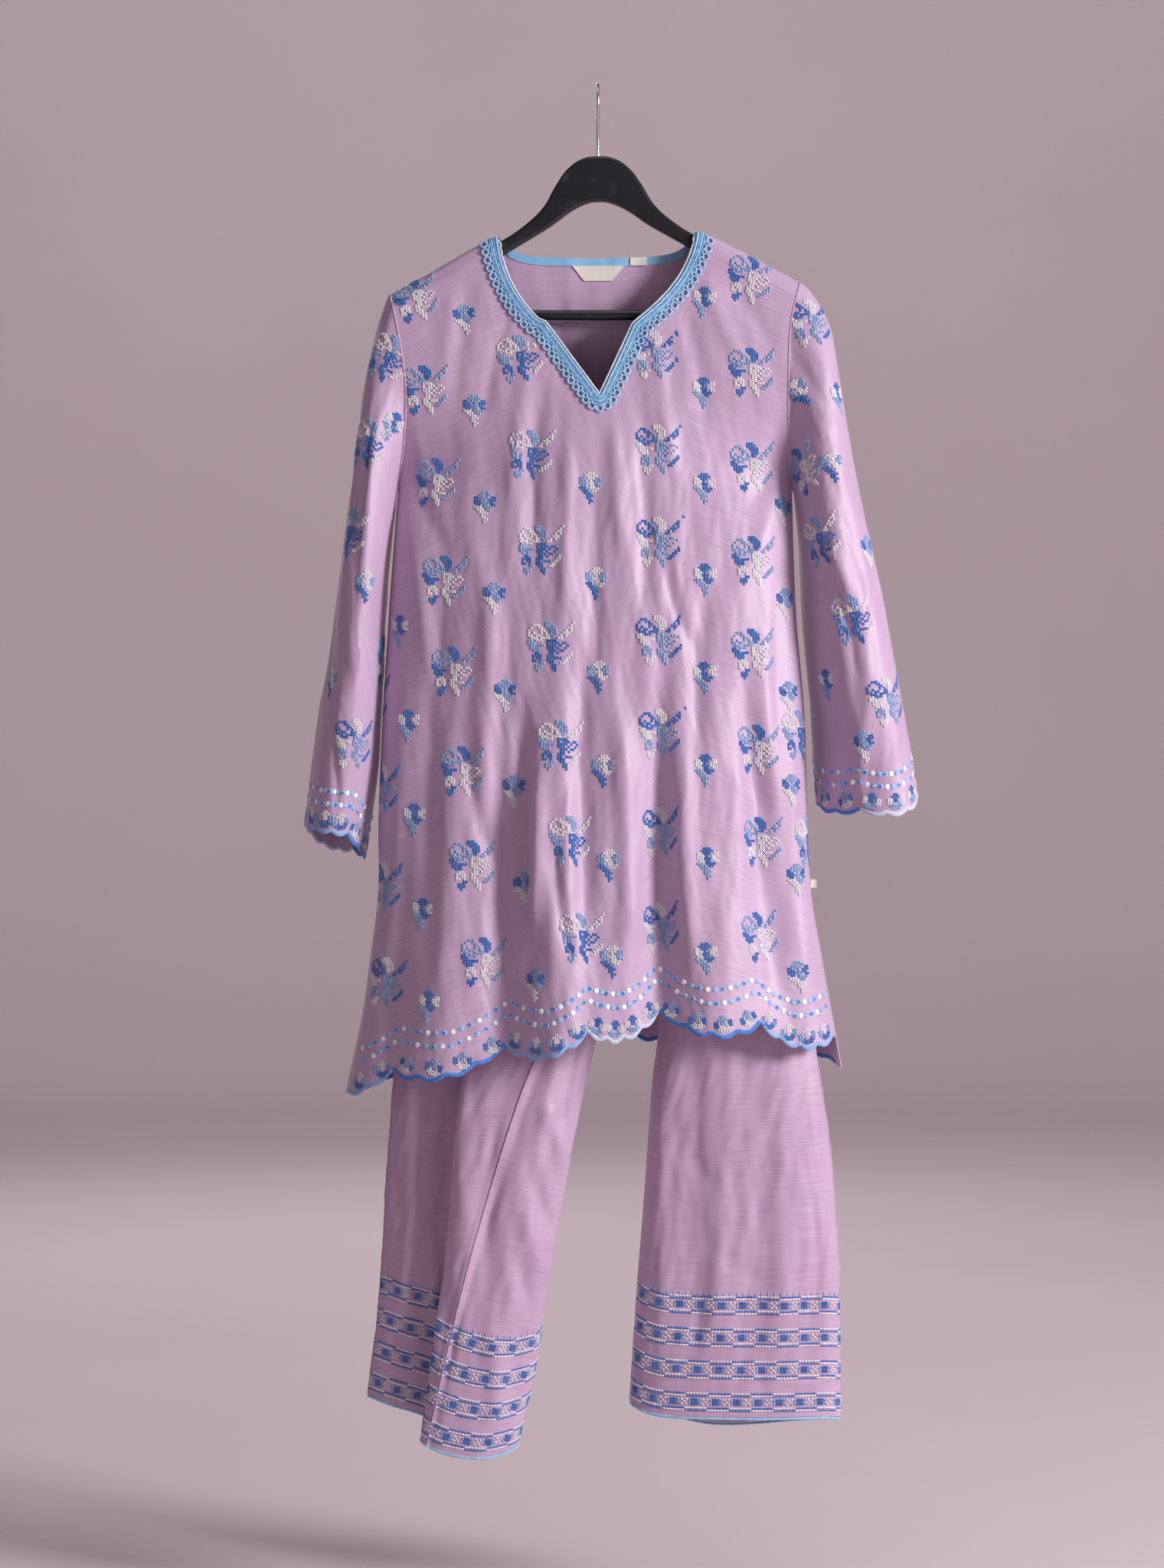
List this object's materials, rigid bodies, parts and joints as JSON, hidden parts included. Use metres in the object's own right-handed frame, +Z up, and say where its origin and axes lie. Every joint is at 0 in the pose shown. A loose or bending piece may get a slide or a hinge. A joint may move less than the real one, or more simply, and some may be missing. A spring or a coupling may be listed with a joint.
{
  "type": "salwar kameez suit on a hanger",
  "caption": "Lilac embroidered A-line kurta with lace V-neck and long sleeves over wide banded trousers, hung flat on a black wooden hanger.",
  "frame": {"origin": "the point inside the hook's bend that rests on the rail, at the top of the rail", "axes": "+Z up, the garment's front faces -Y, +X to the right as seen from the front"},
  "size_m": [0.5853, 0.1773, 1.3062],
  "materials": {
    "kurta_cloth": "silk and cotton voile, soft sheen, lilac",
    "trouser_cloth": "satin cotton, soft sheen, lilac",
    "blue_trim": "light blue braid, loops and bindings",
    "white_piping": "white cord",
    "label_cloth": "cream woven label, bare",
    "black_wood": "black lacquered wood, slightly worn",
    "hook_wire": "bright steel wire"
  },
  "bodies": {
    "root": {"hanger_wood": "black_wood", "hanger_bar": "black_wood", "hanger_hook": "hook_wire", "kurta_front": "kurta_cloth", "kurta_back": "kurta_cloth", "sleeve_left": "kurta_cloth", "sleeve_right": "kurta_cloth", "neck_lace": "blue_trim", "neck_piping": "white_piping", "neck_back_band": "blue_trim", "neck_label": "label_cloth", "care_tag": "label_cloth", "side_tag": "label_cloth", "trouser_front_left": "trouser_cloth", "trouser_back_left": "trouser_cloth", "trouser_piping_left": "blue_trim", "trouser_front_right": "trouser_cloth", "trouser_back_right": "trouser_cloth", "trouser_piping_right": "blue_trim", "trouser_waistband": "trouser_cloth", "hanging_loop_left": "blue_trim", "hanging_loop_right": "blue_trim"}
  },
  "joints": []
}
